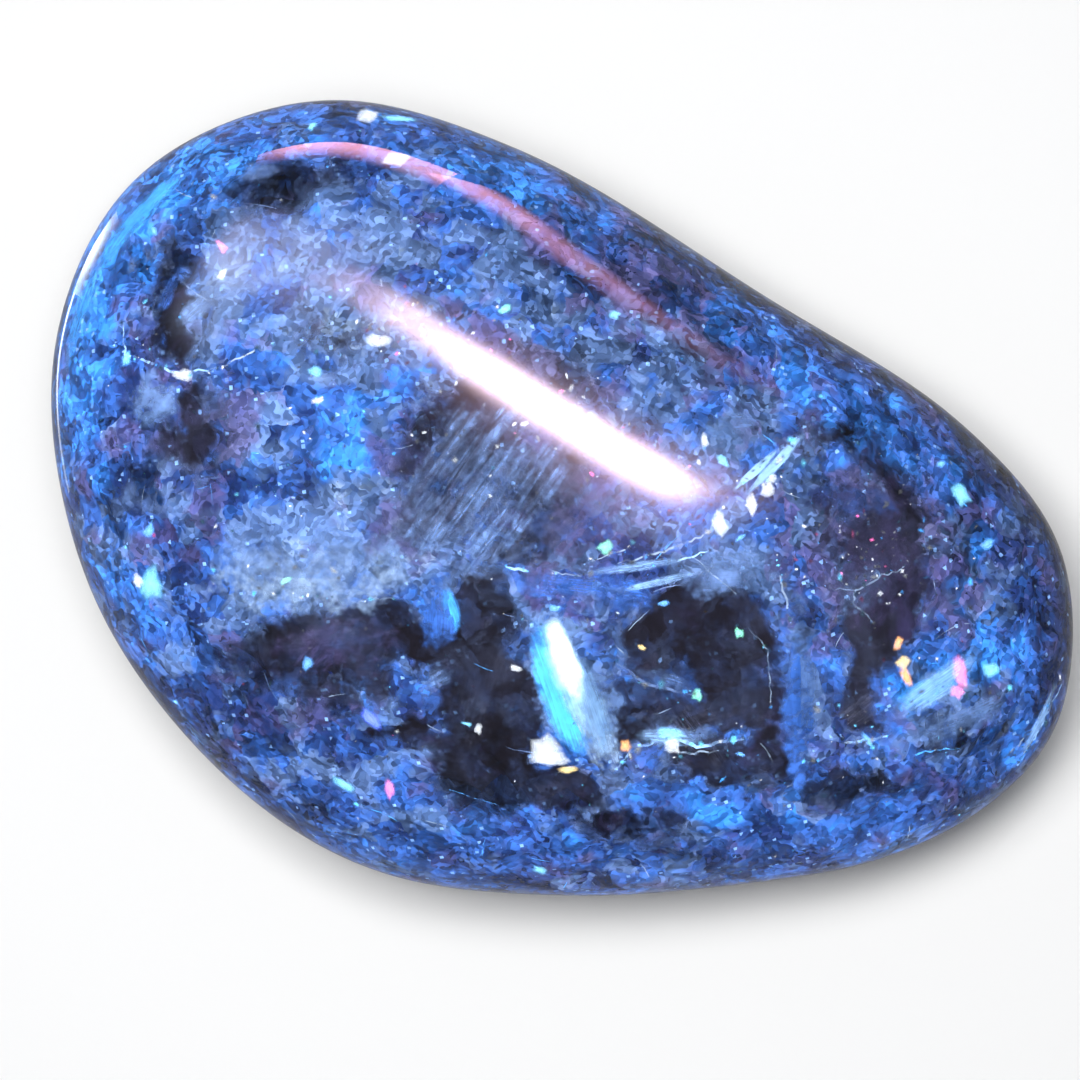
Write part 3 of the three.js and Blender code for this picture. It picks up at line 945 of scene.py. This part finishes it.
class QUARTZ_OT_deep_cracks(bpy.types.Operator):
    """Makes the dyed cracks deeper in the stone"""

    bl_idname = "quartz.deep_cracks"
    bl_label = "Deep Cracks"

    def execute(self, context):
        chosen = settings()
        rounds = chosen.sheet_rounds - 1
        crack_layer("deep_cracks", chosen.deep_top, chosen.deep_reach, DEEP_CRUMPLE, rounds, DEEP_SEEDS)
        return {"FINISHED"}


class QUARTZ_OT_painted_shade_core(bpy.types.Operator):
    """Makes the dark, cloudy sheet in the stone's middle: painted shade, the dark seen through the clear
    quartz
    """

    bl_idname = "quartz.smoky_core"
    bl_label = "Smoky Core"

    def execute(self, context):
        chosen = settings()
        bm = bmesh.new()
        depth, rounds = chosen.core_depth, chosen.sheet_rounds - 1
        crumpled_sheet(bm, stone_tree(), depth, CORE_SPREAD * depth, CORE_CRUMPLE, rounds, CORE_SEED)
        finish_piece("smoky_core", bm, shade_core_material(), smooth=True)
        return {"FINISHED"}


class QUARTZ_OT_veils(bpy.types.Operator):
    """Makes the larger curved crack faces, some listed and some scattered all round"""

    bl_idname = "quartz.veils"
    bl_label = "Veils"

    def execute(self, context):
        tree = stone_tree()
        rng = random.Random(VEIL_SEED)
        bm = bmesh.new()
        layers = bm.verts.layers.float_color.new("tint"), bm.verts.layers.float_color.new("course")
        for x, y, half_length, half_width, turn, depth, lean, dye, cover, streaks in VEILS:
            middle, _, normal = under_skin(tree, x, y, depth)
            angle = math.radians(turn)
            along = Vector((math.cos(angle), math.sin(angle), 0))
            along = (along - normal * along.dot(normal)).normalized()
            across = normal.cross(along) * half_width - normal * lean
            rough = SMOOTH_VEIL if dye in TINTS else ROUGH_VEIL
            add_veil(bm, layers, tree, middle, along * half_length * MM, across * MM, depth * MM,
                     tint_of(dye), cover, streaks, rough, rng.random())
        for _ in range(settings().veil_count):
            middle, outward = anywhere(tree, rng, rng.uniform(*VEIL_DEPTHS) * MM)
            facing = (outward + scatter(rng, 0.3)).normalized()
            along = facing.orthogonal().normalized()
            along.rotate(Matrix.Rotation(rng.uniform(0, math.pi), 3, facing))
            length = rng.uniform(*VEIL_LENGTHS) * MM
            across = facing.cross(along) * length * rng.uniform(*VEIL_WIDTHS)
            tint = tint_of(rng.choice(VEIL_DYES))
            add_veil(bm, layers, tree, middle, along * length, across, 0.5 * MM,
                     tint, rng.uniform(0.4, 0.8), rng.random(), ROUGH_VEIL, rng.random())
        finish_piece("veils", bm, veil_material(), smooth=True)
        return {"FINISHED"}


class QUARTZ_OT_crack_edges(bpy.types.Operator):
    """Makes the cracks that are seen edge on, as fine bright lines"""

    bl_idname = "quartz.crack_edges"
    bl_label = "Crack Edges"

    def execute(self, context):
        tree = stone_tree()
        rng = random.Random(EDGE_SEED)
        bm = bmesh.new()
        tints = bm.verts.layers.float_color.new("tint")
        for points, depth, width, dye in EDGES:
            path = [under_skin(tree, *point, depth) for point in wandering(points, rng, KINK)]
            places, _, normals = zip(*path)
            add_edge(bm, tints, places, normals, 0.55 * width * MM, tint_of(dye))
        for _ in range(settings().edge_count):
            place, outward = anywhere(tree, rng, rng.uniform(*EDGE_DEPTHS) * MM)
            way = outward.orthogonal().normalized()
            way.rotate(Matrix.Rotation(rng.uniform(0, 2 * math.pi), 3, outward))
            stride = rng.uniform(*EDGE_STRIDES) * MM
            places = [place]
            for _ in range(rng.randint(4, 9)):
                way.rotate(Matrix.Rotation(rng.gauss(0, 0.12), 3, outward))
                places.append(places[-1] + way * stride)
            tint = tint_of(rng.choice(EDGE_DYES))
            add_edge(bm, tints, places, [outward] * len(places), rng.uniform(*EDGE_WIDTHS) * MM, tint)
        finish_piece("crack_edges", bm, glint_material("bright_edges", 0.1, 0.4, 0.8))
        return {"FINISHED"}


class QUARTZ_OT_glints(bpy.types.Operator):
    """Makes the small flat crack faces that catch the lamp"""

    bl_idname = "quartz.glints"
    bl_label = "Glints"

    def execute(self, context):
        tree = stone_tree()
        rng = random.Random(GLINT_SEED)
        bm = bmesh.new()
        layers = bm.verts.layers.float_color.new("tint"), bm.verts.layers.float_vector.new("aim")
        for x, y, radius, name in GLINTS:
            place, look, normal = under_skin(tree, x, y, GLINT_DEPTH)
            tint = tint_of(name)[:3]
            # A bright, near-white heart and a dimmer coloured rim: a painted glow around each listed glint.
            heart, rim = [0.15 + 0.85 * part for part in tint], [0.35 * part for part in tint]
            aim = facing_lamp(place, look)
            radius = GLINT_SWELL * radius * MM
            add_glint(bm, layers, place, normal - 0.7 * look, aim, radius, 10, heart, rim, rng)
        for x, y, spread, count, name in CROWDS:
            for _ in range(count):
                at = rng.gauss(x, spread), rng.gauss(y, spread)
                self.sprinkle(bm, layers, tree, rng, *at, CROWD_RADIUS, ["white", name])
        for points, _, width, _ in EDGES:
            for x, y in wandering(points, rng, SPRINKLE_KINK):
                if rng.random() < 0.5:
                    self.sprinkle(bm, layers, tree, rng, x, y, 0.3 * width, EDGE_TINTS)
        for _ in range(settings().glint_count):
            place, outward = anywhere(tree, rng, rng.uniform(*GLINT_DEPTHS) * MM)
            aim = (outward + scatter(rng, 0.45)).normalized()
            radius = min(0.09, 0.018 + rng.expovariate(60)) * MM
            self.spark(bm, layers, place, outward, aim, radius, rng.choice(GLINT_TINTS), rng)
        finish_piece("glints", bm, glint_material("mirror_glints", 0.9, 0.5, 0.0, aimed=True))
        return {"FINISHED"}

    def sprinkle(self, bm, layers, tree, rng, x, y, radius, names):
        """Adds one small crack face, seen at x, y from above, that nearly faces the lamp."""
        place, look, normal = under_skin(tree, x, y, rng.uniform(*SPRINKLE_DEPTHS))
        aim = facing_lamp(place, look) + scatter(rng, 0.1)
        radius = min(0.12, 0.6 * radius + rng.expovariate(1 / radius)) * MM
        self.spark(bm, layers, place, normal, aim.normalized(), radius, rng.choice(names), rng)

    def spark(self, bm, layers, place, normal, aim, radius, name, rng):
        """Adds one small crack face with a light of its own strength."""
        strength = 0.9 * rng.random() ** 5 + 0.02
        heart = [strength * part for part in tint_of(name)[:3]]
        radius, corners = GLINT_SWELL * radius, rng.randint(4, 6)
        add_glint(bm, layers, place, normal, aim, radius, corners, heart, heart, rng)


# ---- studio


def panel_lamp(name, receivers, start, end, width, power, colour, strengths=(), fall=1.0):
    """A strip lamp whose long side runs from start to end, which faces the stone and lights its receivers."""
    first, last = Vector(start) * MM, Vector(end) * MM
    middle = (first + last) / 2
    lamp = bpy.data.lights.new(name, "AREA")
    lamp.shape = "RECTANGLE"
    lamp.size = (last - first).length
    lamp.size_y = width * MM
    lamp.energy = power
    lamp.color = colour
    if strengths:
        soften(lamp, strengths, fall)
    holder = new_object(name, lamp)
    back = (middle - HEART).normalized()
    along = (last - first).normalized()
    back = (back - along * back.dot(along)).normalized()
    side = back.cross(along)
    holder.matrix_world = Matrix.Translation(middle) @ Matrix((along, side, back)).transposed().to_4x4()
    holder.visible_camera = False
    group = bpy.data.collections.new(name + "_lights")
    for piece in receivers:
        group.objects.link(piece)
    holder.light_linking.receiver_collection = group
    lamp.cycles.use_multiple_importance_sampling = len(receivers) == 1  # the cracks' light needs none


def soften(lamp, strengths, fall):
    """Fades a lamp towards its long sides, and gives it strengths along its length."""
    lamp.use_nodes = True
    tree = lamp.node_tree
    place = Value(add_node(tree, "ShaderNodeNewGeometry").outputs["Parametric"])
    along, across, _ = given_by(tree, "ShaderNodeSeparateXYZ", vector=place)
    ramp = add_node(tree, "ShaderNodeValToRGB", fac=along)
    ramp.color_ramp.interpolation = "EASE"
    stops = ramp.color_ramp.elements
    while len(stops) < len(strengths):
        stops.new(0.5)
    for stop, (position, strength) in zip(stops, strengths):
        stop.position = position
        stop.color = (strength, strength, strength, 1)
    away = (across * 2.0 - 1.0).maths("ABSOLUTE")
    fade = away.step(1.0, 0.15).maths("POWER", fall)
    dress(tree.nodes["Emission"], {"Strength": Value(ramp.outputs["Color"]) * fade})


class QUARTZ_OT_studio(bpy.types.Operator):
    """Makes the floor, the lamps and the camera"""

    bl_idname = "quartz.studio"
    bl_label = "Studio"

    def execute(self, context):
        self.lamps(self.floor())
        self.camera()
        self.world()
        self.light_paths()
        return {"FINISHED"}

    def floor(self):
        """The round floor that the stone lies on."""
        bm = bmesh.new()
        bmesh.ops.create_circle(bm, cap_ends=True, segments=96, radius=FLOOR_RADIUS)
        bmesh.ops.recalc_face_normals(bm, faces=bm.faces)
        floor = mesh_object("floor", bm, floor_material())
        floor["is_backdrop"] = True
        return floor

    def lamps(self, floor):
        """The lamps, each for the polished skin, the cracks inside or the floor."""
        body = bpy.data.objects["polished_stone"]
        inside = [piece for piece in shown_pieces() if piece is not body]
        for piece in inside:
            piece.visible_shadow = piece.name == "smoky_core"
        for lamps, receivers in ((SKIN_LAMPS, [body]), (CRACK_LAMPS, inside), (FLOOR_LAMPS, [floor])):
            for name, values in lamps.items():
                panel_lamp(name, receivers, *values)

    def camera(self):
        """Looks straight down, with the stone's length slanting to the lower right."""
        lens = bpy.data.cameras.new("camera")
        lens.lens = LENS
        lens.sensor_width = SENSOR
        holder = new_object("camera", lens)
        holder.matrix_world = Matrix.Translation(EYE) @ Matrix.Rotation(SHOT_TURN, 4, "Z")
        bpy.context.scene.camera = holder

    def world(self):
        """A dim, even light all round, behind a pale backdrop."""
        world = bpy.data.worlds.new("studio")
        world.use_nodes = True
        tree = world.node_tree
        dim = tree.nodes["Background"]
        dress(dim, {"Color": (0.9, 0.93, 1.0, 1), "Strength": 0.15})
        backdrop = add_node(tree, "ShaderNodeBackground", color=(0.98, 0.99, 1.0, 1), strength=0.58)
        switch_by_ray(tree, "Is Camera Ray", dim, backdrop, tree.nodes["World Output"])
        bpy.context.scene.world = world
        bpy.context.scene.view_settings.view_transform = "Standard"

    def light_paths(self):
        """How far light goes: through the skin and the cracks' gaps, and hardly from piece to piece."""
        cycles = bpy.context.scene.cycles
        cycles.transparent_max_bounces = 8
        cycles.max_bounces = 7
        cycles.diffuse_bounces = 0
        cycles.glossy_bounces = 1
        cycles.transmission_bounces = 5
        cycles.use_light_tree = False
        cycles.caustics_refractive = False
        cycles.caustics_reflective = False


class QUARTZ_PT_panel(bpy.types.Panel):
    """Lists the stone's sizes and the steps that build it"""

    bl_idname = "QUARTZ_PT_panel"
    bl_label = "Dyed Quartz Stone"
    bl_space_type = "VIEW_3D"
    bl_region_type = "UI"
    bl_category = "Quartz"

    def draw(self, context):
        for name in QuartzSettings.__annotations__:
            self.layout.prop(context.scene.quartz, name)
        for step in STEPS:
            self.layout.operator(step.bl_idname)


STEPS = (
    QUARTZ_OT_polished_stone, QUARTZ_OT_skin_cracks, QUARTZ_OT_deep_cracks, QUARTZ_OT_painted_shade_core,
    QUARTZ_OT_veils, QUARTZ_OT_crack_edges, QUARTZ_OT_glints, QUARTZ_OT_studio,
)
CLASSES = (QuartzSettings, *STEPS, QUARTZ_PT_panel)


def register():
    for cls in CLASSES:
        bpy.utils.register_class(cls)
    bpy.types.Scene.quartz = PointerProperty(type=QuartzSettings)


def unregister():
    del bpy.types.Scene.quartz
    for cls in reversed(CLASSES):
        bpy.utils.unregister_class(cls)


def main():
    register()
    for step in STEPS:
        area, name = step.bl_idname.split(".")
        getattr(getattr(bpy.ops, area), name)()


if __name__ == "__main__":
    main()
